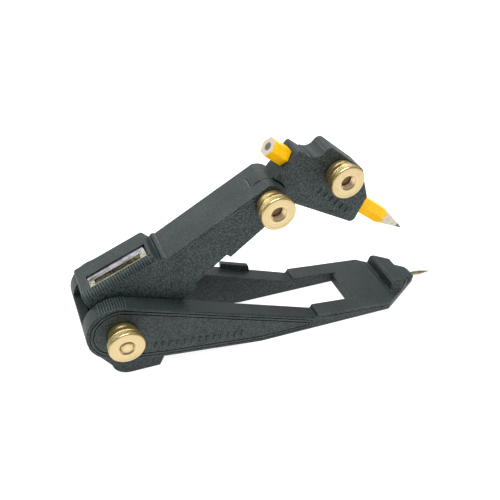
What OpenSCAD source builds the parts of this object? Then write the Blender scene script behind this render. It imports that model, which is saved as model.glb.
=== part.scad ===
// Scribing tool: two hinged moulded arms, a needle point, a swivelling pencil holder
// and a pencil sharpener built into the root of the upper arm.
// Drawn round the main pivot: X towards the needle, Y across, Z up; millimetres.

/* [Lower arm] */
// Width across both cheeks
body_w = 33.2; // [31:0.2:38]
// Radius of the round end behind the main pivot
end_r = 12.5; // [12.2:0.1:13]
// Setback of the round end's centre behind the pivot
end_back = 1; // [0.6:0.1:1.4]
// Fall of the cheeks' top edge
cheek_fall = 14.3; // [13.6:0.1:15]
// Pivot axis to the step up onto the deck
step_x = 85; // [80:0.5:90]
// Pivot axis to the far end of the long opening
bridge_x = 106; // [104:0.5:110]
// Pivot axis to the corners where the nose begins
corner_x = 122; // [120:0.5:124]
// Pivot axis to the blunt end of the nose
nose_x = 143; // [141:0.5:147]
// Width of the blunt end of the nose
nose_w = 5.2; // [4.6:0.2:7]
// Depth of the deck's top below the pivot axis
deck_drop = 7.2; // [6.8:0.1:7.6]
// Depth of the underside at the nose below the pivot axis
nose_drop = 9.5; // [9.1:0.1:9.9]
// Depth of the knee of the underside below the pivot axis
knee_drop = 16.8; // [16.2:0.1:16.9]
// Height of the cross ridge above the deck
ridge_h = 4.7; // [3.8:0.1:5.2]
// Pivot axis height above the bench
stand_h = 22.4; // [22.2:0.1:23.5]
// Width of the raised rim round each cheek
rim_w = 1; // [0.9:0.1:2]
// Depth of the panel inside the rim
rim_d = 0.4; // [0.3:0.1:0.6]
// Rounding of the cheeks' upper outer edges
edge_r = 0.7; // [0.4:0.1:0.8]
// Play between the arm's hub and the trough round it
hub_gap = 0.8; // [0.5:0.1:1]
// Number of serrations on the round end
serration_n = 10; // [6:1:11]

/* [Upper arm] */
// Main pivot to holder pivot
arm_len = 74.3; // [70:0.5:80]
// Width of the arm
arm_w = 17.2; // [16.4:0.2:18.4]
// Angle of the arm above the deck
arm_open = 39.6; // [34:0.2:46]
// Radius of the fork end
fork_r = 7.5; // [7.2:0.1:8.2]
// Radius of the pivot hub
hub_r = 8.8; // [8.4:0.1:9]
// Height of the arm's top edge at the root
root_top = 9.8; // [9.2:0.1:10.4]
// Depth of the arm's lower edge at the root
root_bottom = 12.3; // [11.6:0.1:12.6]
// Depth of the relief in the lower edge
relief_d = 2.2; // [1.4:0.1:2.8]
// Fall of the two halves of the arm's top from the parting line
top_draft = 3.5; // [1:0.5:5]

/* [Sharpener] */
// Height of the housing's outer corner above the pivot axis
house_h = 19; // [18.6:0.1:19.6]
// Length of the housing's top
house_l = 30.4; // [29.6:0.1:31]
// Half angle of the sharpening cone and slope of the housing's top
cone_half = 10; // [9.4:0.1:10.6]
// Mouth radius of the sharpening cone
mouth_r = 4.1; // [3.8:0.1:4.3]
// Thickness of the housing over the blade
cover_t = 0.6; // [0.5:0.1:0.9]
// Sideways place of the cone's axis
cone_y = -1; // [-1.2:0.1:-0.6]
// Blade length
blade_l = 24; // [22:0.5:24]
// Blade thickness
blade_t = 0.6; // [0.5:0.05:0.8]
// Blade width
blade_w = 7.7; // [7:0.1:8]
// Width of the metal insert
insert_w = 12.8; // [12.4:0.1:13]
// Depth of the metal insert
insert_d = 8; // [7.6:0.1:8.4]
// Length of the metal insert
insert_l = 28; // [27:0.1:28.2]
// Width of the window over the blade
window_w = 7; // [6:0.1:7.2]
// Blade screw radius
screw_r = 0.9; // [0.8:0.05:1]
// Blade screw length below the blade
screw_l = 4; // [3:0.2:4.4]
// Radius of the housing's ribbed front edge
grip_r = 2.6; // [2.4:0.1:2.8]
// Depth of the grooves between its ribs
grip_d = 0.45; // [0.3:0.05:0.5]
// Number of grip ribs on the housing's front edge
grip_n = 26; // [18:1:28]

/* [Pencil holder] */
// Thickness of the holder plate
holder_t = 10.1; // [9.6:0.1:10.6]
// Downward angle of the pencil below the deck's direction
pencil_dip = 32; // [26:0.5:36]
// Pencil axis to holder pivot
pencil_up = 16.2; // [15.8:0.1:17]
// Clamp bolt to pencil axis
clamp_up = 6.75; // [6.7:0.05:7.2]
// Clamp bolt along the pencil from the holder pivot
clamp_on = 20.4; // [19:0.2:22]
// Length of the plate beyond the holder pivot
plate_l = 43.7; // [42.5:0.1:45]
// Radius of the tongue in the fork
tongue_r = 7.6; // [7.2:0.1:7.8]
// Thickness of the tongue in the fork
tongue_t = 6.4; // [5.8:0.1:7]
// Width of the clamp's saw slit
slit_w = 0.8; // [0.5:0.1:1.2]

/* [Pencil] */
// Pencil size across the flats
pencil_af = 7; // [6.6:0.1:7.2]
// Pencil length
pencil_l = 85.8; // [75:0.5:100]
// Pencil behind the holder plate
pencil_tail = 8.4; // [6:0.2:10]
// Half angle of the sharpened point
point_half = 12.4; // [11:0.2:14]
// Lead radius
lead_r = 1.15; // [0.9:0.05:1.3]

/* [Nuts and bolts] */
// Bolt radius
bolt_r = 2.45; // [2.2:0.05:2.5]
// Knurled head radius
nut_r = 7; // [6.4:0.1:7.4]
// Knurled head thickness
nut_t = 3.2; // [2.8:0.1:3.8]
// Collar radius
collar_r = 5.8; // [5.2:0.1:6.2]
// Collar length
collar_l = 5.45; // [4.6:0.05:6]
// Bolt head radius
cap_r = 5; // [4.6:0.1:5.6]
// Bolt head height
cap_t = 2.2; // [1.8:0.1:2.6]
// Length of a bolt's square neck
neck_l = 2.6; // [2:0.1:3]
// Friction washer thickness
washer_t = 0.8; // [0.6:0.05:1]
// How far the clamp and holder bolts end inside their nuts
bolt_short = 2.4; // [1:0.1:3]

/* [Needle] */
// Needle radius
needle_r = 1; // [0.8:0.05:1.2]
// Needle length in front of the nose
needle_out = 11.2; // [9:0.2:14]

/* [Hidden] */
run = 0.06;
slide = 0.15;
side_gap = 0.1;
gap_w = arm_w + 2 * washer_t;
fork_w = tongue_t + 2 * side_gap;
fork_in = tongue_r + 0.25;
half_w = body_w / 2;
half_gap = gap_w / 2;
half_arm = arm_w / 2;
nut_h = nut_t + collar_l;
well_r = hub_r + hub_gap;
lie_tilt = asin(stand_h / norm([nose_x, nose_drop])) - atan(nose_drop / nose_x);
needle_z = -deck_drop + 0.4;
ridge_x = corner_x + 4.8;
hold_x = arm_len * cos(arm_open);
hold_z = arm_len * sin(arm_open);
clamp_b = pencil_up + clamp_up;
house_t = insert_d + cover_t + blade_t;
insert_x = 0.4;
insert_y = -half_arm + grip_r + 0.2;
window_x = 4;
blade_x = window_x + 0.2;
blade_z = -cover_t - blade_t;
screw_x = blade_x + blade_l / 2;
screw_y = cone_y + blade_w - 2.3;
mouth_l = 6;
heel_from = 2.6;
heel_to = 14.3;
heel_r = 7.5;
heel_mid = (heel_from + heel_to) / 2;
pencil_r = pencil_af / 2 / cos(30);
plate_a = -2.1;
point_l = pencil_r / tan(point_half);
$fn = 96;

// Places

// Whole tool standing on the heel and the nose, the middle of the heel's flat at the origin
module standing() {
    translate([-heel_mid, 0, stand_h]) rotate([0, lie_tilt, 0]) children();
}

// Upper arm's own frame: X along the arm from the main pivot
module on_arm() {
    rotate([0, -arm_open, 0]) children();
}

// Holder's own frame: X along the pencil from the holder pivot
module on_holder() {
    translate([hold_x, 0, hold_z]) rotate([0, pencil_dip, 0]) children();
}

// Housing's own frame: X along its top from the outer corner, Z out of the top
module on_house() {
    on_arm() translate([-2.1, 0, house_h]) rotate([0, cone_half, 0]) children();
}

// Side outline drawn in X and Z, given a thickness from y0 to y1
module slab(y0, y1) {
    translate([0, y1, 0]) rotate([90, 0, 0]) linear_extrude(y1 - y0) children();
}

// Round bar or hole across the tool from y0 to y1
module across(r, y0, y1) {
    translate([0, y1, 0]) rotate([90, 0, 0]) cylinder(r = r, h = y1 - y0);
}

// Lower arm

// Cheek from y0 to y1, drawn in by d all round
module cheek(d, y0, y1) {
    r = end_r - d;
    tx = -end_back + (r - 0.06) * sin(cheek_fall);
    tz = (r - 0.06) * cos(cheek_fall);
    x1 = step_x - 0.6 - d;
    low = -knee_drop + (x1 - 60) / (corner_x - 60) * (knee_drop - deck_drop - 3.6);
    end = d > 0 ? [x1, low + d] : [corner_x, -deck_drop - 3.6];
    translate([-end_back, 0, 0]) across(r, y0, y1);
    slab(y0, y1) polygon([[-3, 3], [tx, tz], [x1, tz - (x1 - tx) * tan(cheek_fall)], end, [60, -knee_drop + d],
        [18.5, -15.6 + d], [-3.4, -13.7 + d], [-end_back - r * 0.8, -r * 0.55]]);
}

// Side outline of the deck end of a cheek
module deck_side() {
    polygon([[step_x - 0.6, -deck_drop - 2.6], [step_x + 0.6, -deck_drop], [corner_x, -deck_drop],
        [corner_x, -deck_drop - 3.6], [step_x - 0.6, -deck_drop - 6.4]]);
}

// Side outline of the heel that stands on the bench
module heel_side() {
    rotate(lie_tilt) {
        polygon([[-11.4, -7], [-1.5, -20.8], [heel_from, -stand_h], [heel_to, -stand_h], [heel_to + 2.9, -16],
            [10, -8]]);
        translate([heel_from, -stand_h + heel_r]) circle(heel_r);
    }
}

// What the hub and the arm need free between the cheeks
module trough_free() {
    circle(well_r);
    polygon([[-40, 0], [0, 0], [0, -well_r], [30, -well_r - 30 * tan(10.6)], [30, -60], [200, -60],
        [200, 60], [-40, 60]]);
}

// Side outline of the nose with its cross ridge, the ridge's edge cut flat or rounded
module nose_side(flat) {
    top = -deck_drop + ridge_h;
    polygon([[corner_x, -deck_drop], [ridge_x, -deck_drop], [ridge_x + 0.3, top - (flat ? 1.2 : 2)],
        [ridge_x + (flat ? 1.5 : 2), top], [ridge_x + 8, top], [ridge_x + 10.6, -5.1], [nose_x - 1.6, -5.1],
        [nose_x, -6], [nose_x, -nose_drop], [corner_x, -deck_drop - 3.6]]);
    if (!flat)
        translate([ridge_x + 2.3, top - 2]) circle(2);
}

// Square corner left by a rounding of radius r at the origin, towards +x and +y
module corner_cut(r) {
    difference() {
        translate([-r, -r]) square(r + 1);
        translate([-r, -r]) circle(r);
    }
}

// Rounding of a cheek's outer edge round the end and along the top
module cheek_edge() {
    translate([-end_back, 0, 0]) rotate([90, 0, 0]) {
        rotate(90 - cheek_fall) rotate_extrude(angle = 128) translate([end_r, half_w]) corner_cut(edge_r);
        rotate(-cheek_fall) translate([0, end_r, half_w]) rotate([90, 0, 90])
            linear_extrude(step_x) corner_cut(edge_r);
    }
}

module lower_arm() {
    color("#343a3b") difference() {
        union() {
            for (s = [0, 1]) mirror([0, s, 0]) {
                cheek(0, -half_w, -half_gap);
                slab(-half_w, -half_gap) deck_side();
            }
            // Heel and end wall
            slab(-half_w + 1, half_w - 1) heel_side();
            slab(-half_gap - 0.1, half_gap + 0.1) translate([-end_back, 0]) circle(end_r);
            // Bridge of the deck
            slab(-half_gap - 0.1, half_gap + 0.1) intersection() {
                deck_side();
                translate([bridge_x, -40]) square([80, 80]);
            }
            nose();
            // Stop rib on the back cheek
            slab(half_w - 2, half_w) polygon([[50.8, -3], [50.8, 2.6], [64.2, -0.7], [65.4, -5], [60, -8]]);
        }
        slab(-half_gap, half_gap) intersection() {
            trough_free();
            translate([-60, -80]) square([60 + bridge_x, 160]);
        }
        for (s = [0, 1]) mirror([0, s, 0]) {
            cheek_edge();
            cheek(rim_w, -half_w - 1, -half_w + rim_d);
            // Groove along the deck's side
            slab(-half_w - 1, -half_w + rim_d) polygon([[step_x + 2, -deck_drop - 1.5],
                [corner_x - 2, -deck_drop - 1.3], [corner_x - 2, -deck_drop - 1.8], [step_x + 2, -deck_drop - 2]]);
            // Serrated top of the round end
            for (i = [0 : serration_n - 1])
                translate([-end_back, 0, 0]) rotate([0, -82 - 4.6 * i, 0]) translate([end_r + 0.12, 0, 0])
                    across(0.45, -half_w + edge_r, -half_gap + 1);
        }
        // Bevelled far end of the opening
        slab(-half_gap, half_gap) polygon([[bridge_x - 1, -deck_drop + 1], [bridge_x - 1, -deck_drop - 1.3],
            [bridge_x, -deck_drop - 1], [bridge_x + 1.6, -deck_drop + 0.01], [bridge_x + 1.6, -deck_drop + 1]]);
        across(bolt_r + run, -half_w - 1, half_w + 1);
        translate([-bolt_r - run, half_w - rim_d - neck_l, -bolt_r - run])
            cube([2 * (bolt_r + run), neck_l + 1, 2 * (bolt_r + run)]);
        translate([corner_x + 6, 0, needle_z]) rotate([0, 90, 0]) cylinder(r = needle_r, h = 60);
    }
}

// Tapered nose with the cross ridge
module nose() {
    difference() {
        intersection() {
            union() {
                slab(-half_w, 1.5) nose_side(true);
                slab(1.4, half_w) nose_side(false);
            }
            translate([0, 0, -40]) linear_extrude(80) polygon([[corner_x - 0.01, half_w], [nose_x, nose_w / 2],
                [nose_x, -nose_w / 2], [corner_x - 0.01, -half_w]]);
        }
        // Sloping front end of the ridge, over a flat ledge
        translate([corner_x, 0, -deck_drop]) rotate([90, 0, 90])
            linear_extrude(14) polygon([[-9.4, 0], [-7.4, ridge_h + 0.1], [-30, ridge_h + 0.1], [-30, 0]]);
        translate([corner_x + 14, 0, -deck_drop]) rotate([90, 0, 90])
            linear_extrude(10) polygon([[-4, 0], [-2.2, ridge_h], [-30, ridge_h], [-30, 0]]);
    }
    // Bead across the deck in front of the ridge
    translate([corner_x + 2.4, 0, -deck_drop]) across(0.35, -10, 13.6);
}

module needle() {
    color("#b9ad7c") translate([corner_x + 6, 0, needle_z]) rotate([0, 90, 0]) {
        tip = nose_x + needle_out - corner_x - 6;
        cylinder(r = needle_r, h = tip - 6);
        translate([0, 0, tip - 6]) cylinder(r1 = needle_r, r2 = 0.12, h = 6);
    }
}

// Upper arm

// Side outline of the arm without its housing
module arm_side() {
    top_a = atan((root_top - fork_r) / (arm_len - 30));
    low_a = atan((root_bottom - fork_r) / (arm_len - 23));
    circle(hub_r);
    translate([arm_len, 0]) circle(fork_r);
    difference() {
        polygon([[0, hub_r], [29.4, root_top], [arm_len + fork_r * sin(top_a), fork_r * cos(top_a)],
            [arm_len, 0], [arm_len + fork_r * sin(low_a), -fork_r * cos(low_a)], [23, -root_bottom],
            [-1.2, -hub_r * 0.99], [0, 0]]);
        polygon([[30.8, -root_bottom - 1], [31.6, -root_bottom + 0.8 + relief_d],
            [48.6, -root_bottom + 2.4 + relief_d], [50.2, -root_bottom - 1]]);
    }
}

// Side outline of the sharpener housing
module house_side() {
    translate([-2.1, house_h]) rotate(-cone_half)
        polygon([[0.8, 0], [house_l - 0.6, 0], [house_l, -0.6], [house_l + 1.6, -4.6], [house_l, -9], [8, -18],
            [0, -11.6], [0, -0.8]]);
}

module upper_arm() {
    color("#3b4243") difference() {
        union() {
            difference() {
                on_arm() slab(-half_arm, half_arm) {
                    arm_side();
                    house_side();
                }
                arm_top_draft();
                house_edge_round();
            }
            house_grip();
            // Step at the foot of the housing
            on_arm() translate([29.9, 0, root_top - 0.3]) across(0.9, -half_arm + 0.3, half_arm - 0.3);
            // Bead along the upper edge of each side
            for (s = [-1, 1])
                on_arm() translate([33, s * half_arm, root_top - 2.1]) rotate([0, 93, 0]) cylinder(r = 0.4, h = 37);
        }
        across(bolt_r + run, -half_arm - 1, half_arm + 1);
        on_arm() {
            translate([arm_len, 0, 0]) {
                across(bolt_r + run, -half_arm - 1, half_arm + 1);
                translate([-bolt_r - run, half_arm - neck_l, -bolt_r - run])
                    cube([2 * (bolt_r + run), neck_l + 1, 2 * (bolt_r + run)]);
            }
            slab(-fork_w / 2, fork_w / 2) translate([arm_len, 0]) {
                circle(fork_in);
                translate([0, -20]) square([40, 40]);
            }
        }
        // Pocket for the insert, open at the outer end, and the window over the blade
        on_house() {
            translate([-5, insert_y, -house_t]) cube([5 + insert_x + insert_l + 0.2, insert_w, house_t - cover_t]);
            translate([window_x, insert_y + 0.1, -cover_t - 1]) cube([house_l - window_x - 1.2, window_w, cover_t + 3]);
        }
    }
}

// Draft of the arm's top on both sides of the parting line
module arm_top_draft() {
    top_a = atan((root_top - fork_r) / (arm_len - 30));
    for (s = [-1, 1])
        on_arm() translate([29.4, 0, root_top]) rotate([0, top_a, 0]) mirror([0, s > 0 ? 0 : 1, 0])
            translate([1.6, 0, 0]) rotate([90, 0, 90]) linear_extrude(arm_len)
                polygon([[0, 0], [half_arm + 1, -(half_arm + 1) * tan(top_draft)], [half_arm + 1, 3], [0, 3]]);
}

// Rounded front edge of the housing, cut back to the bottom of the grooves
module house_edge_round() {
    on_house() translate([-2, -half_arm, 0]) rotate([90, 0, 90]) linear_extrude(house_l + 6) difference() {
        translate([-1, -grip_r]) square([grip_r + 1, grip_r + 1]);
        translate([grip_r, -grip_r]) circle(grip_r - grip_d);
    }
}

// Grip ribs round that edge
module house_grip() {
    pitch = (house_l - 2) / grip_n;
    on_house() for (i = [0 : grip_n - 1])
        translate([1 + pitch * i, -half_arm + grip_r, -grip_r]) rotate([90, 0, 90]) rotate([0, 0, 90])
            rotate_extrude(angle = 90) translate([grip_r - grip_d - 0.6, 0]) square([grip_d + 0.6, pitch * 0.55]);
}

// Sharpener

module sharpener_insert() {
    axis_z = house_h - (cover_t + blade_t) / cos(cone_half) - mouth_r / cos(cone_half);
    color("#b7b29c") difference() {
        on_house() difference() {
            translate([insert_x, insert_y + 0.05, -house_t]) cube([insert_l, insert_w - 0.1, insert_d]);
            // Chip throat in front of the cutting edge
            translate([window_x + 2.4, cone_y, blade_z]) rotate([90, 0, 90])
                linear_extrude(blade_l - 4.4) polygon([[-0.1, 0.1], [-3, 0.1], [-2.4, -1.2], [-0.1, -2.2]]);
            translate([screw_x, screw_y, blade_z - screw_l]) cylinder(r = screw_r, h = screw_l + 2);
        }
        on_arm() translate([-mouth_l - 2, cone_y, axis_z]) rotate([0, 90, 0]) {
            cylinder(r = mouth_r, h = mouth_l + 0.02);
            translate([0, 0, mouth_l]) cylinder(r1 = mouth_r, r2 = 0.3, h = (mouth_r - 0.3) / tan(cone_half));
        }
    }
}

module sharpener_blade() {
    color("#d9dcdd") on_house() difference() {
        translate([blade_x, cone_y - 0.1, -cover_t]) rotate([90, 0, 90]) linear_extrude(blade_l)
            polygon([[0, -blade_t], [blade_w, -blade_t], [blade_w, 0], [0.9, 0]]);
        translate([screw_x, screw_y, blade_z - 1]) cylinder(r = screw_r, h = 4);
        translate([screw_x, screw_y, blade_z]) cylinder(r1 = screw_r, r2 = screw_r + blade_t, h = blade_t);
    }
}

module blade_screw() {
    color("#c9c6b8") on_house() translate([screw_x, screw_y, blade_z]) difference() {
        union() {
            translate([0, 0, -screw_l]) cylinder(r = screw_r, h = screw_l + 0.01);
            cylinder(r1 = screw_r, r2 = screw_r + blade_t, h = blade_t);
        }
        translate([-2, -0.15, blade_t - 0.25]) cube([4, 0.3, 1]);
    }
}

// Pencil holder

// Plate with its rounded corners, the pencil along X at pencil_up
module plate() {
    b = pencil_up;
    t = holder_t / 2;
    difference() {
        union() {
            across(tongue_r, -t, t);
            slab(-t, t) polygon([[plate_a, 0], [plate_a, b + 4.5], [-0.9, b + 5.7], [4, b + 5.7], [8.7, b + 11.2],
                [10.9, b + 13.5], [clamp_on + 8.6, b + 13], [plate_l - 3, b + 4.9], [plate_l - 2.3, b + 3],
                [plate_l, b - 5.9], [plate_l - 2.3, b - 8.2], [13, 3.4], [tongue_r * 0.55, -tongue_r * 0.83]]);
            translate([plate_a + 1.2, 0, b + 4.5]) across(1.2, -t, t);
            translate([10.9, 0, b + 11.2]) across(2.3, -t, t);
            translate([clamp_on + 8.6, 0, b + 10.8]) across(2.2, -t, t);
            translate([plate_l - 4, 0, b + 3.4]) across(1.8, -t, t);
            translate([plate_l - 2.3, 0, b - 5.9]) across(2.3, -t, t);
        }
        translate([4.3, 0, b + 10.4]) across(4.2, -t - 1, t + 1);
        // Shoulders that run round the fork's end
        for (s = [0, 1]) mirror([0, s, 0])
            across(max(fork_r, tongue_r) + 0.5, -t - 1, -tongue_t / 2);
    }
}

module pencil_holder() {
    color("#3a4142") on_holder() difference() {
        plate();
        across(bolt_r + run, -holder_t, holder_t);
        translate([clamp_on, 0, clamp_b]) {
            across(bolt_r + run, -holder_t, holder_t);
            translate([-bolt_r - run, holder_t / 2 - 1.6, -bolt_r - run])
                cube([2 * (bolt_r + run), 4, 2 * (bolt_r + run)]);
        }
        // Six-sided channel of the pencil
        translate([plate_a - 10, 0, pencil_up]) rotate([0, 90, 0]) rotate(30)
            cylinder(r = pencil_r + slide / cos(30), h = plate_l + 30, $fn = 6);
        // Saw slit that lets the back leaf close on the pencil
        translate([11.6, 2.4, pencil_up]) cube([plate_l, slit_w, 40]);
    }
}

// Nuts, bolts and washers

// Knurled thumb nut seated on y = 0 and standing out to -y
module thumb_nut() {
    rotate([90, 0, 0]) rotate_extrude() polygon([[bolt_r + run, 0], [collar_r - 0.3, 0], [collar_r, 0.3],
        [collar_r, collar_l],
        [nut_r - 0.3, collar_l], [nut_r, collar_l + 0.3], [nut_r, nut_h - 0.4], [nut_r - 0.5, nut_h],
        [bolt_r + run + 0.4, nut_h], [bolt_r + run, nut_h - 0.4]]);
}

// Bolt with a low domed head on y = 0, standing out to +y, and a shank of length l
module cap_bolt(l, neck) {
    sphere_r = (cap_r * cap_r + cap_t * cap_t) / 2 / cap_t;
    rotate([-90, 0, 0]) {
        rotate_extrude() intersection() {
            translate([0, cap_t - sphere_r]) circle(sphere_r);
            square([cap_r, cap_t]);
        }
    }
    translate([-bolt_r, -neck, -bolt_r]) cube([2 * bolt_r, neck, 2 * bolt_r]);
    across(bolt_r, -l + 0.4, 0.01);
    translate([0, -l + 0.4, 0]) rotate([90, 0, 0]) cylinder(r1 = bolt_r, r2 = bolt_r - 0.4, h = 0.4);
}

module ring(r0, r1, y0, y1) {
    difference() {
        across(r1, y0, y1);
        across(r0, y0 - 1, y1 + 1);
    }
}

module pivot_bolt() {
    color("#c9ab6a") translate([0, half_w - rim_d, 0]) cap_bolt(body_w - 2 * rim_d + nut_h - 0.1, neck_l);
}

module pivot_nut() {
    color("#d1b475") translate([0, -half_w + rim_d, 0]) thumb_nut();
}

module pivot_washer_front() {
    color("#d8d6cc") ring(bolt_r + 0.2, hub_r - 0.8, -half_gap, -half_arm);
}

module pivot_washer_back() {
    color("#d8d6cc") ring(bolt_r + 0.2, hub_r - 0.8, half_arm, half_gap);
}

module holder_bolt() {
    color("#c9ab6a") translate([hold_x, half_arm, hold_z]) rotate([0, -arm_open, 0])
        cap_bolt(arm_w + nut_h - bolt_short, neck_l);
}

module holder_nut() {
    color("#d1b475") translate([hold_x, -half_arm, hold_z]) thumb_nut();
}

module clamp_bolt() {
    color("#c9ab6a") on_holder() translate([clamp_on, holder_t / 2, clamp_b])
        cap_bolt(holder_t + nut_h - bolt_short, 1.6);
}

module clamp_nut() {
    color("#d1b475") on_holder() translate([clamp_on, -holder_t / 2, clamp_b]) thumb_nut();
}

// Pencil

module pencil_casing() {
    color("#f2b51d") on_holder() translate([plate_a - pencil_tail, 0, pencil_up]) rotate([0, 90, 0]) difference() {
        intersection() {
            rotate(30) cylinder(r = pencil_r, h = pencil_l, $fn = 6);
            union() {
                cylinder(r = pencil_r + 1, h = pencil_l - point_l - 3);
                translate([0, 0, pencil_l - point_l - 4])
                    cylinder(r1 = (point_l + 4) * tan(point_half), r2 = 0.05, h = point_l + 3.8);
            }
        }
        translate([0, 0, -1]) cylinder(r = lead_r, h = pencil_l + 2);
    }
}

module pencil_lead() {
    color("#3c3d40") on_holder() translate([plate_a - pencil_tail, 0, pencil_up]) rotate([0, 90, 0]) {
        cylinder(r = lead_r, h = pencil_l - lead_r / tan(point_half));
        translate([0, 0, pencil_l - lead_r / tan(point_half)])
            cylinder(r1 = lead_r, r2 = 0.1, h = lead_r / tan(point_half) - 0.4);
    }
}

standing() lower_arm();
standing() needle();
standing() pivot_bolt();
standing() pivot_washer_front();
standing() pivot_washer_back();
standing() pivot_nut();
standing() upper_arm();
standing() sharpener_insert();
standing() sharpener_blade();
standing() blade_screw();
standing() holder_bolt();
standing() holder_nut();
standing() pencil_holder();
standing() clamp_bolt();
standing() clamp_nut();
standing() pencil_casing();
standing() pencil_lead();
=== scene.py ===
import math

import bmesh
import bpy
from mathutils import Matrix, Vector


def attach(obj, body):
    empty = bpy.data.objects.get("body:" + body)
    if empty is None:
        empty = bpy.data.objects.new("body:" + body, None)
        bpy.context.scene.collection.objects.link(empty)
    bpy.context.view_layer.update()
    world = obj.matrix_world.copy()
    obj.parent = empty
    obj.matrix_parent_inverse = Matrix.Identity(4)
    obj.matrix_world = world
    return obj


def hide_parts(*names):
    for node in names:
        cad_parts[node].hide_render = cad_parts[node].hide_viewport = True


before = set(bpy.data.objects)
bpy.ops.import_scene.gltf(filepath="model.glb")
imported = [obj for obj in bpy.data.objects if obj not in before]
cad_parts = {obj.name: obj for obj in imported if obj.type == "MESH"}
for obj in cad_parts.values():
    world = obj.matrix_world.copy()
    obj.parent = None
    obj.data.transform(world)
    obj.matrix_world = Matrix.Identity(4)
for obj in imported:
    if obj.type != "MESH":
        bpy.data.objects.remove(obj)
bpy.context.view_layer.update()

MM = 0.001

# Sizes of the tool in millimetres and degrees, as its solids have them

# Lower arm, drawn round the main pivot
STAND_H = 22.4
HEEL_MID = 8.45
LIE_TILT = 5.19135
HALF_BODY = 16.6
HALF_GAP = 9.4
EDGE_R = 0.7
SERRATION_N = 10
SERRATION_FROM = 82.0
SERRATION_PITCH = 4.6
RIM_W = 1.0
RIM_D = 0.4
END_R = 12.5
END_BACK = 1.0
END_TURN = 168
CHEEK_FALL = 14.3
HEEL_BACK = (-3.4, -13.7)
HEEL_FRONT = (18.5, -15.6)
KNEE_X = 60
KNEE_DROP = 16.8
STEP_X = 85.0
STEP_GAP = 0.6
CORNER_X = 122.0
CORNER_T = 3.6
DECK_DROP = 7.2

# Upper arm and its sharpener housing
ARM_OPEN = 39.6
ARM_LEN = 74.3
HALF_ARM = 8.6
HOUSE_BACK = 2.1
HOUSE_H = 19.0
HOUSE_L = 30.4
HOUSE_TURN = 10.0
GRIP_R = 2.6
GRIP_N = 26

# Pencil holder and pencil
PENCIL_DIP = 32.0
PENCIL_UP = 16.2
PENCIL_FLAT = 3.5
PENCIL_TAIL = 10.5
CLAMP_ON = 20.4
CLAMP_UP = 22.95
HOLDER_T = 10.1

# Thumb nuts
BORE_R = 2.51
NUT_R = 7.0
NUT_T = 3.2
COLLAR_R = 5.8
COLLAR_L = 5.45


def shift(x, y, z):
    return Matrix.Translation((x * MM, y * MM, z * MM))


def turn(degrees):
    return Matrix.Rotation(math.radians(degrees), 4, "Y")


# Places: the tool on the bench, its upper arm, its sharpener housing and its pencil holder
HOLD_X = ARM_LEN * math.cos(math.radians(ARM_OPEN))
HOLD_Z = ARM_LEN * math.sin(math.radians(ARM_OPEN))
BENCH = shift(-HEEL_MID, 0, STAND_H) @ turn(LIE_TILT)
ARM = BENCH @ turn(-ARM_OPEN)
HOUSE = ARM @ shift(-HOUSE_BACK, 0, HOUSE_H) @ turn(HOUSE_TURN)
HOLDER = BENCH @ shift(HOLD_X, 0, HOLD_Z) @ turn(PENCIL_DIP)
PENCIL = HOLDER @ shift(0, 0, PENCIL_UP)


# Camera at the photograph's view
CAMERA_AT = (-0.04263193, -0.21010195, 0.20856824)
CAMERA_RIGHT = (0.92815198, -0.36939899, 0.04558837)
CAMERA_UP = (0.18818612, 0.57141722, 0.7987918)
CAMERA_BACK = (-0.32112286, -0.73282109, 0.59987778)
CAMERA_LENS = 50.4013
CAMERA_SENSOR = 36.0


def set_camera():
    lens = bpy.data.cameras.new("photo_view")
    lens.sensor_width = CAMERA_SENSOR
    lens.lens = CAMERA_LENS
    lens.clip_start = 0.01
    camera = bpy.data.objects.new("photo_view", lens)
    bpy.context.scene.collection.objects.link(camera)
    axes = [Vector(axis) for axis in (CAMERA_RIGHT, CAMERA_UP, CAMERA_BACK)]
    rows = Matrix(axes).transposed().to_4x4()
    camera.matrix_world = Matrix.Translation(CAMERA_AT) @ rows
    bpy.context.scene.camera = camera


# Finishes

class Wire:
    """A shader socket that takes part in Python sums."""

    def __init__(self, look, socket):
        self.look = look
        self.socket = socket

    def __add__(self, other):
        if self.socket.type == "VECTOR":
            return self.look.node("VectorMath", {"operation": "ADD"}, {0: self, 1: other})
        return self.look.sum("ADD", self, other)

    __radd__ = __add__

    def __sub__(self, other):
        return self.look.sum("SUBTRACT", self, other)

    def __rsub__(self, other):
        return self.look.sum("SUBTRACT", other, self)

    def __mul__(self, other):
        return self.look.sum("MULTIPLY", self, other)

    __rmul__ = __mul__

    def __abs__(self):
        return self.look.sum("ABSOLUTE", self)

    def __gt__(self, other):
        return self.look.sum("GREATER_THAN", self, other)

    def __lt__(self, other):
        return self.look.sum("LESS_THAN", self, other)

    def most(self, other):
        return self.look.sum("MAXIMUM", self, other)


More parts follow.
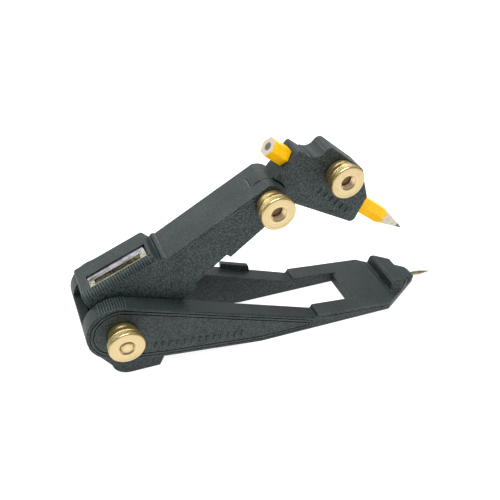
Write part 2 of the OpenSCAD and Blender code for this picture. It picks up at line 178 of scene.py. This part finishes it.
class Look:
    """One finish, built up from shader nodes."""

    def __init__(self, name):
        self.material = bpy.data.materials.new(name)
        self.material.use_nodes = True
        self.tree = self.material.node_tree
        self.shader = self.tree.nodes["Principled BSDF"]

    def feed(self, socket, value):
        if isinstance(value, Wire):
            self.tree.links.new(value.socket, socket)
        else:
            socket.default_value = value

    def node(self, kind, settings=None, sockets=None, out=0):
        made = self.tree.nodes.new("ShaderNode" + kind)
        for key, value in (settings or {}).items():
            setattr(made, key, value)
        for key, value in (sockets or {}).items():
            self.feed(made.inputs[key], value)
        return Wire(self, made.outputs[out])

    def sum(self, operation, *terms):
        return self.node("Math", {"operation": operation}, dict(enumerate(terms)))

    def step(self, value, low, high, start=0.0, end=1.0):
        return self.node("MapRange", {"interpolation_type": "SMOOTHSTEP"},
                         {0: value, 1: low, 2: high, 3: start, 4: end})

    def mix(self, one, other, share):
        one, other = (c if isinstance(c, Wire) else (*c, 1) for c in (one, other))
        return self.node("Mix", {"data_type": "RGBA"}, {0: share, 6: one, 7: other}, 2)

    def spot(self, place=None):
        """Where a point lies, in the rest frame or in the frame of one place."""
        here = self.node("TexCoord", out="Object")
        if place is None:
            return here
        back = place.inverted()
        return self.node("Mapping", None, {"Vector": here, "Location": tuple(back.translation),
                                           "Rotation": tuple(back.to_euler())})

    def parts(self, vector):
        """The three components of a vector."""
        split = self.node("SeparateXYZ", None, {0: vector})
        return [Wire(self, socket) for socket in split.socket.node.outputs]

    def facing(self):
        """How far a point of the surface faces the front or the back."""
        return abs(self.parts(self.node("TexCoord", out="Normal"))[1])

    def noise(self, where, scale, detail=3.0, rough=0.5, stretch=None):
        if stretch:
            where = self.node("Mapping", None, {"Vector": where, "Scale": stretch})
        return self.node("TexNoise", None, {"Vector": where, "Scale": scale, "Detail": detail,
                                            "Roughness": rough})

    def lines(self, distance, scale, detail):
        """Fine lines that follow one another along a distance."""
        return self.node("TexNoise", {"noise_dimensions": "1D"},
                         {"W": distance, "Scale": scale, "Detail": detail})

    def warp(self, where, scale, reach):
        """Small wandering shift of a place."""
        drift = self.node("TexNoise", None, {"Vector": where, "Scale": scale, "Detail": 2.0}, "Color")
        centred = self.node("VectorMath", {"operation": "SUBTRACT"}, {0: drift, 1: (0.5, 0.5, 0.5)})
        return self.node("VectorMath", {"operation": "SCALE"}, {0: centred, "Scale": reach})

    def hollow(self, reach):
        """How open the surroundings of a point are, within a reach in millimetres."""
        return self.node("AmbientOcclusion", {"samples": 8}, {"Distance": reach * MM}, "AO")

    def bump(self, height, strength, depth, **sockets):
        """A normal disturbed by a height, with a depth in millimetres."""
        return self.node("Bump", None, {"Strength": strength, "Distance": depth * MM,
                                        "Height": height, **sockets})

    def finish(self, **sockets):
        for key, value in sockets.items():
            name = key.replace("_", " ").title().replace("Ior", "IOR")
            socket = self.shader.inputs[name]
            if socket.type == "RGBA" and not isinstance(value, Wire):
                value = (*value, 1)
            self.feed(socket, value)
        return self.material


PLASTIC_DARK = (0.004, 0.008, 0.008)
PLASTIC_PALE = (0.058, 0.084, 0.083)
PLASTIC_SHADE = (0.001, 0.002, 0.002)
# Pale colour of the painted highlight along edges, which also stands for a little wear.
PLASTIC_EDGE_HIGHLIGHT_AND_WEAR = (0.19, 0.225, 0.225)
PEBBLE_SCALE = 1050.0
PEBBLE_DEEP = 0.17
GROOVE_REACH = 0.8
NOOK_REACH = 9


def moulded_plastic(name, pebble, tone, soft=0.3):
    """Charcoal moulding with pebbled sides and smoother tops; tops and ends are painted a little
    lighter as light from above, edges carry a painted highlight with a little wear, and grooves and
    nooks are painted with shade.
    """
    look = Look(name)
    here = look.spot()
    side = look.step(look.facing(), 0.75, 0.95)
    warped = here + look.warp(here, 1500.0, 0.35 * MM)
    pebbles = look.node("TexVoronoi", {"feature": "DISTANCE_TO_EDGE"},
                        {"Vector": warped, "Scale": PEBBLE_SCALE}, "Distance")
    blotches = look.noise(here, 1300.0, 2.0, 0.6)
    fine = look.noise(here, 2600.0, 2.0)
    cloud = look.noise(here, 90.0, 4.0)
    rounded = look.node("Bevel", {"samples": 6}, {"Radius": soft * MM})
    flat = look.node("NewGeometry", out="Normal")
    agree = look.node("VectorMath", {"operation": "DOT_PRODUCT"}, {0: rounded, 1: flat}, "Value")
    edge = look.step(agree, 0.985, 0.86)
    grain = look.step(pebbles, 0.02, 0.3) * 0.6 + look.step(blotches, 0.3, 0.7) * 0.6
    grain = grain * (0.25 + side * 0.75) * pebble
    bumped = look.bump(grain + fine * 0.1, 0.9, PEBBLE_DEEP, Normal=rounded)
    dark = [c * tone for c in PLASTIC_DARK]
    pale = [c * tone for c in PLASTIC_PALE]
    # Random grain and mottle, plus painted light: faces turned away from the front and back (tops and
    # ends) are painted a little lighter.
    mottle_and_top_light = grain * 0.75 + cloud * 0.3 + fine * 0.12 + (1 - side) * 0.12
    body = look.mix(dark, pale, look.step(mottle_and_top_light, 0.2, 0.95))
    # Painted shade: ambient occlusion darkens fine grooves and deeper nooks towards PLASTIC_SHADE.
    groove = look.step(look.hollow(GROOVE_REACH), 0.3, 0.85)
    nook_shade = look.step(look.hollow(NOOK_REACH), 0.05, 0.75, 0.3, 1.0)
    body = look.mix(PLASTIC_SHADE, body, groove * nook_shade)
    # Painted highlight along rounded edges, broken up by the cloud, partly standing for edge wear.
    edge_highlight_and_wear = look.mix(body, PLASTIC_EDGE_HIGHLIGHT_AND_WEAR, edge * look.step(cloud, 0.25, 0.6) * 0.7)
    return look.finish(base_color=edge_highlight_and_wear, roughness=0.48 + cloud * 0.12 - edge * 0.08,
                       specular_ior_level=0.35, normal=bumped)


BRASS_SHADED_SIDES = ((0.26, 0.185, 0.05), (0.62, 0.51, 0.26))
BRASS_DISC = ((0.50, 0.38, 0.18), (0.66, 0.54, 0.32))
BRASS_STAIN = (0.42, 0.29, 0.12)
BRASS_BORE_LIGHT = (0.86, 0.62, 0.42)
BRASS_HOLE_SHADE = (0.07, 0.04, 0.015)
BORE_LIGHT_R = (2.95, 2.75)
HOLE_SHADE_FROM = (-0.5, -1.5)


def turned_brass(name, place, bore_light=False, hole_shade=False):
    """Brass with the lathe's rings about one axis, drawn lines on its sides and a little tarnish; its
    sides are painted darker than its face as shade, a threaded bore can get a painted highlight, and
    a bolt's end deep in a bore can get painted shade.
    """
    look = Look(name)
    x, depth, z = look.parts(look.spot(place))
    radius = look.sum("SQRT", x * x + z * z)
    face = look.step(look.facing(), 0.6, 0.9)
    rings = look.lines(radius, 1900.0, 5.0)
    drawn = look.lines(depth, 4200.0, 4.0)
    marks = rings * face + drawn * (1 - face)
    cloud = look.noise(look.spot(), 420.0, 4.0, 0.6)
    bumped = look.bump(marks, 0.12, 0.03)
    # Painted shade: the sides get a darker brass than the face, with the drawn lines across it.
    shaded_sides = look.mix(*BRASS_SHADED_SIDES, look.step(marks, 0.36, 0.64))
    disc = look.mix(*BRASS_DISC, look.step(marks, 0.3, 0.7))
    clean = look.mix(shaded_sides, disc, face)
    tint = look.mix(clean, BRASS_STAIN, look.step(cloud, 0.52, 0.74) * 0.4)
    # Painted highlight: the threaded bore is painted a bright copper tone, as its wall catching the
    # light.
    if bore_light:
        low, high = (edge * MM for edge in BORE_LIGHT_R)
        tint = look.mix(tint, BRASS_BORE_LIGHT, look.step(radius, low, high) * 0.9)
    # Painted shade: the part of a bolt lying deep in a nut's bore is painted nearly black.
    if hole_shade:
        low, high = (edge * MM for edge in HOLE_SHADE_FROM)
        tint = look.mix(tint, BRASS_HOLE_SHADE, look.step(depth, low, high) * 0.9)
    return look.finish(base_color=tint, metallic=0.88 + face * 0.12,
                       roughness=0.24 + face * 0.04 + marks * 0.08 + cloud * 0.05, normal=bumped)


def bright_metal(name, dull, bright, place, lengths, rough):
    """Steel or alloy with fine lines along one direction."""
    look = Look(name)
    here = look.spot(place)
    drawn = look.noise(here, 1.0, 4.0, 0.6, lengths)
    cloud = look.noise(here, 350.0, 4.0, 0.6)
    tint = look.mix(dull, bright, look.step(drawn * 0.6 + cloud * 0.4, 0.36, 0.62))
    return look.finish(base_color=tint, metallic=1.0, roughness=rough + drawn * 0.15,
                       normal=look.bump(drawn, 0.2, 0.05))


NYLON_TINTS = ((0.018, 0.02, 0.021), (0.035, 0.038, 0.038))


def washer_nylon():
    look = Look("washer_nylon")
    fine = look.noise(look.spot(), 1600.0, 3.0)
    return look.finish(base_color=look.mix(*NYLON_TINTS, fine), roughness=0.5 + fine * 0.1,
                       normal=look.bump(fine, 0.2, 0.05))


CEDAR = ((0.52, 0.44, 0.33), (0.74, 0.68, 0.58))
CEDAR_CUT = (0.36, 0.29, 0.22)
GRAPHITE_DUST = (0.05, 0.05, 0.055)
DUST_R = (1.9, 1.4)
LACQUER = ((0.92, 0.46, 0.002), (0.99, 0.55, 0.003))
LACQUER_T = 0.02
FLAT_LEAN = math.cos(math.radians(30))


def painted_pencil():
    """Yellow lacquer on the six flats, bare cedar on the cut end and the sharpened cone."""
    look = Look("painted_pencil")
    here = look.spot(PENCIL)
    along, y, z = look.parts(here)
    flats = abs(z).most(abs(y * FLAT_LEAN + z * 0.5)).most(abs(y * FLAT_LEAN - z * 0.5))
    ragged = look.noise(here, 2400.0, 2.0) * 0.1 * MM
    paint = flats + ragged > (PENCIL_FLAT - LACQUER_T) * MM
    paint = paint * (along > (-PENCIL_TAIL + 0.03) * MM)
    fibres = look.noise(here, 1.0, 4.0, 0.65, (160.0, 2600.0, 2600.0))
    speck = look.noise(here, 700.0, 3.0)
    wood = look.mix(*CEDAR, look.step(fibres, 0.3, 0.66))
    cut = look.step(along, (0.3 - PENCIL_TAIL) * MM, -PENCIL_TAIL * MM)
    wood = look.mix(wood, CEDAR_CUT, cut * 0.75)
    low, high = (edge * MM for edge in DUST_R)
    dusty = look.step(look.sum("SQRT", y * y + z * z), low, high)
    wood = look.mix(wood, GRAPHITE_DUST, dusty * (along < (1 - PENCIL_TAIL) * MM) * 0.85)
    lacquer = look.mix(*LACQUER, look.step(speck, 0.3, 0.7))
    bumped = look.bump(fibres * (1 - paint) + speck * paint * 0.15, 0.3, 0.06)
    return look.finish(base_color=look.mix(wood, lacquer, paint), roughness=0.72 - paint * 0.38,
                       coat_weight=paint * 0.05, specular_ior_level=0.2, normal=bumped)


GRAPHITE = ((0.035, 0.036, 0.04), (0.11, 0.112, 0.12))


def pencil_graphite():
    look = Look("pencil_graphite")
    streaks = look.noise(look.spot(PENCIL), 1.0, 4.0, 0.6, (300.0, 3000.0, 3000.0))
    tint = look.mix(*GRAPHITE, look.step(streaks, 0.3, 0.7))
    return look.finish(base_color=tint, metallic=0.35, roughness=0.38 + streaks * 0.2,
                       normal=look.bump(streaks, 0.35, 0.05))


PAPER = ((0.36, 0.36, 0.36), (0.4, 0.4, 0.4))


def bench_paper():
    look = Look("bench_paper")
    tint = look.mix(*PAPER, look.noise(look.spot(), 3.0, 3.0))
    return look.finish(base_color=tint, roughness=0.9, specular_ior_level=0.0,
                       emission_color=(1.0, 1.0, 1.0), emission_strength=0.92)


# Pieces that stand for plainer solids, and thin trim

SHARP = math.radians(28)
WELD = 0.0005


def keep(form, name, finish, body):
    """Makes a mesh object of a finished form and lets it ride on its body."""
    bmesh.ops.remove_doubles(form, verts=form.verts, dist=WELD * MM)
    bmesh.ops.recalc_face_normals(form, faces=form.faces)
    for face in form.faces:
        face.smooth = True
    mesh = bpy.data.meshes.new(name)
    form.to_mesh(mesh)
    form.free()
    mesh.set_sharp_from_angle(angle=SHARP)
    mesh.materials.append(finish)
    piece = bpy.data.objects.new(name, mesh)
    bpy.context.scene.collection.objects.link(piece)
    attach(piece, body)
    return piece


def soften(form, offset):
    """Rounds all the edges of a form by an offset in millimetres."""
    bmesh.ops.bevel(form, geom=form.edges[:], offset=offset * MM, offset_type="OFFSET",
                    affect="EDGES", segments=2, profile=0.5, material=-1)


def block(form, size):
    """Adds a block of a size in millimetres round the origin, and gives its vertices."""
    made = bmesh.ops.create_cube(form, size=1.0)["verts"]
    bmesh.ops.scale(form, vec=[edge * MM for edge in size], verts=made)
    return made


KNURLS = 60
NUT_STEPS = KNURLS * 4
KNURL_DEEP = 0.17
KNURL_LEAN = 2.5
KNURL_LAND = 0.35
BAND_ROWS = 9
BAND_LOW = COLLAR_L + 0.3
BAND_HIGH = COLLAR_L + NUT_T - 0.6
BAND_MARGIN = 0.05
BULGE = math.radians(17)
BEAD_STEPS = 8
COLLAR_BEADS = ((0.1, 2.6), (2.72, COLLAR_L - 0.05))
SEAT_IN = 0.6
NECK_IN = 0.4
HEAD_IN = 0.3
FACE_EDGE = ((0.08, 0.32), (0.25, 0.12), (0.55, 0), (1.2, 0), (1.3, 0.06))
BORE_EDGE = ((0.75, 0.06), (0.3, 0.4))
THREADS = 10
THREAD_FROM = 0.6
THREAD_DEEP = 0.3
THREAD_FLANKS = (0.25, 0.4)
BORE_SEAT = 0.35


def nut_section():
    """Section of a thumb nut from its seat round the outside and back through the threaded bore."""
    top = COLLAR_L + NUT_T
    section = [(COLLAR_R - SEAT_IN, 0.0)]
    for start, end in COLLAR_BEADS:
        length = end - start
        for step in range(BEAD_STEPS + 1):
            lean = (step / (BEAD_STEPS / 2) - 1) * BULGE
            drop = (1 - math.cos(lean)) * length / 2 / math.sin(BULGE)
            section.append((COLLAR_R - drop, start + length * step / BEAD_STEPS))
    section += [(COLLAR_R - NECK_IN, COLLAR_L), (NUT_R - HEAD_IN, COLLAR_L)]
    for row in range(BAND_ROWS + 1):
        section.append((NUT_R, BAND_LOW + (BAND_HIGH - BAND_LOW) * row / BAND_ROWS))
    section += [(NUT_R - inward, top - down) for inward, down in FACE_EDGE]
    section += [(BORE_R + outward, top - down) for outward, down in BORE_EDGE]
    for ridge in range(THREADS):
        out = top - THREAD_FROM - ridge * (top - 2 * THREAD_FROM) / THREADS
        section.append((BORE_R + THREAD_DEEP, out))
        section += [(BORE_R, out - flank) for flank in THREAD_FLANKS]
    return section + [(BORE_R + BORE_SEAT, 0.0)]


def knurl(form):
    """Cuts crossed grooves into the band round a thumb nut's head."""
    for vert in form.verts:
        radius, out = math.hypot(vert.co.x, vert.co.z), -vert.co.y / MM
        on_band = BAND_LOW + BAND_MARGIN < out < BAND_HIGH - BAND_MARGIN
        if on_band and radius > (NUT_R - 0.01) * MM:
            lap = math.atan2(vert.co.z, vert.co.x) / math.tau * KNURLS
            lean = (out - BAND_LOW) / (BAND_HIGH - BAND_LOW) * KNURL_LEAN
            cut = max(abs(((lap + way * lean) % 1.0) * 2 - 1) for way in (-1, 1))
            small = 1 - KNURL_DEEP * max(0.0, cut - KNURL_LAND) / (1 - KNURL_LAND) / NUT_R
            vert.co.x *= small
            vert.co.z *= small


def thumb_nut(name, node, body, place):
    form = bmesh.new()
    section = [form.verts.new((radius * MM, -out * MM, 0)) for radius, out in nut_section()]
    edges = [form.edges.new(pair) for pair in zip(section, section[1:] + section[:1])]
    bmesh.ops.spin(form, geom=section + edges, cent=(0, 0, 0), axis=(0, 1, 0), angle=math.tau,
                   steps=NUT_STEPS, use_merge=True)
    knurl(form)
    bmesh.ops.transform(form, matrix=place, verts=form.verts)
    brass = turned_brass(name + "_brass", place, bore_light=True)
    piece = keep(form, name, brass, body)
    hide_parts(node)


LINE_W = 0.6
BAND_W = 0.75
TRIM_H = RIM_D + 0.05
SEAT_R = 6.1
SEAT_STEPS = 64
ARC_STEPS = 28


def cheek_outline(form, side, inset):
    """Closed line on the floor of one cheek's recess, a given way in from the cheek's edge."""
    radius = END_R - inset
    fall = math.radians(CHEEK_FALL)
    end_x = STEP_X - STEP_GAP - inset
    rise = (end_x - KNEE_X) / (CORNER_X - KNEE_X) * (KNEE_DROP - DECK_DROP - CORNER_T)
    top = (radius * math.sin(fall) - END_BACK, radius * math.cos(fall))
    path = [(end_x, top[1] - (end_x - top[0]) * math.tan(fall)), top]
    for lap in range(1, ARC_STEPS + 1):
        angle = math.pi / 2 - fall + math.radians(END_TURN) * lap / ARC_STEPS
        path.append((radius * math.cos(angle) - END_BACK, radius * math.sin(angle)))
    underside = (HEEL_BACK, HEEL_FRONT, (KNEE_X, -KNEE_DROP), (end_x, -KNEE_DROP + rise))
    path += [(x, z + inset) for x, z in underside]
    y = side * (HALF_BODY - RIM_D)
    verts = [form.verts.new((x * MM, y * MM, z * MM)) for x, z in path]
    return [form.edges.new(pair) for pair in zip(verts, verts[1:] + verts[:1])]


def cheek_trim(name, side):
    """Band and panel on one cheek, with a narrow groove on either side of the band."""
    band_in = RIM_W + LINE_W
    form = bmesh.new()
    loops = cheek_outline(form, side, band_in) + cheek_outline(form, side, band_in + BAND_W)
    bmesh.ops.bridge_loops(form, edges=loops)
    panel = cheek_outline(form, side, band_in + BAND_W + LINE_W)
    upright = shift(0, side * (HALF_BODY - RIM_D), 0) @ Matrix.Rotation(math.pi / 2, 4, "X")
    seat = bmesh.ops.create_circle(form, segments=SEAT_STEPS, radius=SEAT_R * MM, matrix=upright)
    ring = list({edge for vert in seat["verts"] for edge in vert.link_edges})
    bmesh.ops.triangle_fill(form, use_beauty=True, use_dissolve=False, edges=panel + ring)
    raised = bmesh.ops.extrude_face_region(form, geom=form.faces[:])["geom"]
    risen = [item for item in raised if isinstance(item, bmesh.types.BMVert)]
    bmesh.ops.translate(form, vec=(0, side * TRIM_H * MM, 0), verts=risen)
    bmesh.ops.transform(form, matrix=BENCH, verts=form.verts)
    keep(form, name, PLASTIC["lower_arm"], "base")


TICK_ROUND = 0.12


def tick_row(name, node, body, place, first, last, count, size):
    """Row of plain raised ticks on a moulded side, in the frame of one place."""
    form = bmesh.new()
    for tick in range(count):
        share = tick / (count - 1)
        spot = [a + (b - a) * share for a, b in zip(first, last)]
        made = block(form, size)
        bmesh.ops.translate(form, vec=[edge * MM for edge in spot], verts=made)
    soften(form, TICK_ROUND)
    bmesh.ops.transform(form, matrix=place, verts=form.verts)
    keep(form, name, PLASTIC[node], body)


GRIP_FROM = 1
GRIP_SHARE = 0.5
GRIP_SWEEP = math.radians(80)
GRIP_STEPS = 8
GRIP_SECTION = ((0, -0.3), (0, 0.12), (0.25, 0.3), (0.75, 0.3), (1, 0.12), (1, -0.3))


def housing_grip():
    """Rounded ribs over the front edge of the sharpener housing, one on each rib of the solid."""
    pitch = (HOUSE_L - 2 * GRIP_FROM) / GRIP_N
    wide = pitch * GRIP_SHARE
    middle = (0, (GRIP_R - HALF_ARM) * MM, -GRIP_R * MM)
    form = bmesh.new()
    for rib in range(GRIP_N):
        start = GRIP_FROM + pitch * rib
        section = [form.verts.new(((start + along * wide) * MM, middle[1], proud * MM))
                   for along, proud in GRIP_SECTION]
        face = form.faces.new(section)
        bmesh.ops.spin(form, geom=[face, *face.edges, *section], cent=middle, axis=(1, 0, 0),
                       angle=GRIP_SWEEP, steps=GRIP_STEPS)
    bmesh.ops.transform(form, matrix=HOUSE, verts=form.verts)
    keep(form, "housing_grip", LIT_GRIP_PLASTIC, "arm")


LAND_W = 0.5
LAND_H = 0.42
LAND_OUT = 0.06
LAND_ROUND = 0.14


def end_serrations(name, side):
    """Narrow ribs across the top of one cheek's round end, on the lands between its grooves."""
    form = bmesh.new()
    inner, outer = HALF_GAP + 0.1, HALF_BODY - EDGE_R
    for rib in range(SERRATION_N + 1):
        made = block(form, (LAND_W, outer - inner, LAND_H))
        lap = SERRATION_FROM + SERRATION_PITCH * (rib - 0.5)
        middle = shift(-END_BACK, side * (inner + outer) / 2, 0)
        place = middle @ turn(90 - lap) @ shift(0, 0, END_R + LAND_OUT)
        bmesh.ops.transform(form, matrix=place, verts=made)
    soften(form, LAND_ROUND)
    bmesh.ops.transform(form, matrix=BENCH, verts=form.verts)
    keep(form, name, LIT_GRIP_PLASTIC, "base")


def dress(node, finish):
    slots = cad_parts[node].data.materials
    slots.clear()
    slots.append(finish)


# Light and floor

LIT_POINT = Vector((0.05, 0, 0.03))
WORLD_STRENGTH = 0.45
BENCH_HALF = 3.0
BACKDROP_R = 2.8
LAMPS = (
    ("overhead", (-0.05, 0.0, 0.8), 0.6, 8.5),
    ("back_left", (-0.45, 0.75, 0.55), 0.7, 3.0),
    ("back_right", (0.4, 0.8, 0.65), 0.6, 3.2),
)


def studio():
    scene = bpy.context.scene
    scene.view_settings.view_transform = "Standard"
    world = bpy.data.worlds.new("studio")
    world.use_nodes = True
    sky = world.node_tree.nodes["Background"].inputs
    sky["Color"].default_value = (1.0, 1.0, 1.0, 1)
    sky["Strength"].default_value = WORLD_STRENGTH
    scene.world = world
    for name, place, size, power in LAMPS:
        lamp = bpy.data.lights.new(name, "AREA")
        lamp.energy = power
        lamp.size = size
        lit = bpy.data.objects.new(name, lamp)
        scene.collection.objects.link(lit)
        aim = (LIT_POINT - Vector(place)).to_track_quat("-Z", "Y").to_matrix().to_4x4()
        lit.matrix_world = Matrix.Translation(place) @ aim
    paper = bench_paper()
    form = bmesh.new()
    bmesh.ops.create_grid(form, x_segments=8, y_segments=8, size=BENCH_HALF)
    set_out("bench", form, paper)
    form = bmesh.new()
    bmesh.ops.create_uvsphere(form, u_segments=48, v_segments=24, radius=BACKDROP_R)
    backdrop = set_out("backdrop", form, paper)
    backdrop.visible_diffuse = False
    backdrop.visible_glossy = False
    backdrop.visible_shadow = False


def set_out(name, form, finish):
    """Puts a part of the studio in the scene, apart from the tool."""
    mesh = bpy.data.meshes.new(name)
    form.to_mesh(mesh)
    form.free()
    mesh.materials.append(finish)
    stage = bpy.data.objects.new(name, mesh)
    bpy.context.scene.collection.objects.link(stage)
    return stage


set_camera()
studio()

PLASTIC = {
    "lower_arm": moulded_plastic("lower_arm_plastic", 0.7, 1.0),
    "upper_arm": moulded_plastic("upper_arm_plastic", 0.85, 1.05),
    "pencil_holder": moulded_plastic("pencil_holder_plastic", 0.85, 1.0),
}
# The same plastic with its colours 2.8 times lighter: painted light on the raised grip ribs and end
# serrations.
LIT_GRIP_PLASTIC = moulded_plastic("lit_grip_plastic", 0.4, 2.8, 0.1)
for node, finish in PLASTIC.items():
    dress(node, finish)

PIVOT_SEAT = BENCH @ shift(0, -HALF_BODY + RIM_D, 0)
HOLDER_SEAT = HOLDER @ shift(0, -HALF_ARM, 0)
CLAMP_SEAT = HOLDER @ shift(CLAMP_ON, -HOLDER_T / 2, CLAMP_UP)
thumb_nut("pivot_thumb_nut", "pivot_nut", "pivot_thumb_nut", PIVOT_SEAT)
thumb_nut("holder_thumb_nut", "holder_nut", "holder_thumb_nut", HOLDER_SEAT)
thumb_nut("clamp_thumb_nut", "clamp_nut", "clamp_thumb_nut", CLAMP_SEAT)
dress("pivot_bolt", turned_brass("pivot_bolt_brass", PIVOT_SEAT))
dress("holder_bolt", turned_brass("holder_bolt_brass", HOLDER_SEAT, hole_shade=True))
dress("clamp_bolt", turned_brass("clamp_bolt_brass", CLAMP_SEAT, hole_shade=True))

NYLON = washer_nylon()
for node in ("pivot_washer_front", "pivot_washer_back"):
    dress(node, NYLON)
dress("needle", bright_metal("needle_steel", (0.20, 0.18, 0.115), (0.40, 0.365, 0.25), BENCH,
                             (300.0, 4000.0, 4000.0), 0.3))
dress("sharpener_insert", bright_metal("insert_alloy", (0.10, 0.095, 0.06), (0.42, 0.40, 0.31),
                                       HOUSE, (900.0, 1500.0, 900.0), 0.34))
dress("sharpener_blade", bright_metal("blade_steel", (0.09, 0.09, 0.10), (0.36, 0.35, 0.38),
                                      HOUSE, (120.0, 2600.0, 2600.0), 0.24))
dress("blade_screw", bright_metal("screw_steel", (0.5, 0.48, 0.42), (0.75, 0.74, 0.68), HOUSE,
                                  (2500.0, 2500.0, 900.0), 0.25))
dress("pencil_casing", painted_pencil())
dress("pencil_lead", pencil_graphite())

cheek_trim("cheek_trim_front", -1)
cheek_trim("cheek_trim_back", 1)
housing_grip()
end_serrations("end_serrations_front", -1)
end_serrations("end_serrations_back", 1)

RAIL_TICK = (0.9, 0.7, 2.7)
RAIL_TICKS_Y = -HALF_BODY + RIM_D - TRIM_H - 0.1
tick_row("rail_ticks", "lower_arm", "base", BENCH, (13.5, RAIL_TICKS_Y, -9.2),
         (50.5, RAIL_TICKS_Y, -10.4), 13, RAIL_TICK)
HOLDER_TICK = (0.9, 0.7, 2.5)
HOLDER_TICKS_Y = -HOLDER_T / 2 - 0.05
tick_row("holder_ticks", "pencil_holder", "holder", HOLDER, (19.5, HOLDER_TICKS_Y, 12.6),
         (37.0, HOLDER_TICKS_Y, 11.6), 6, HOLDER_TICK)
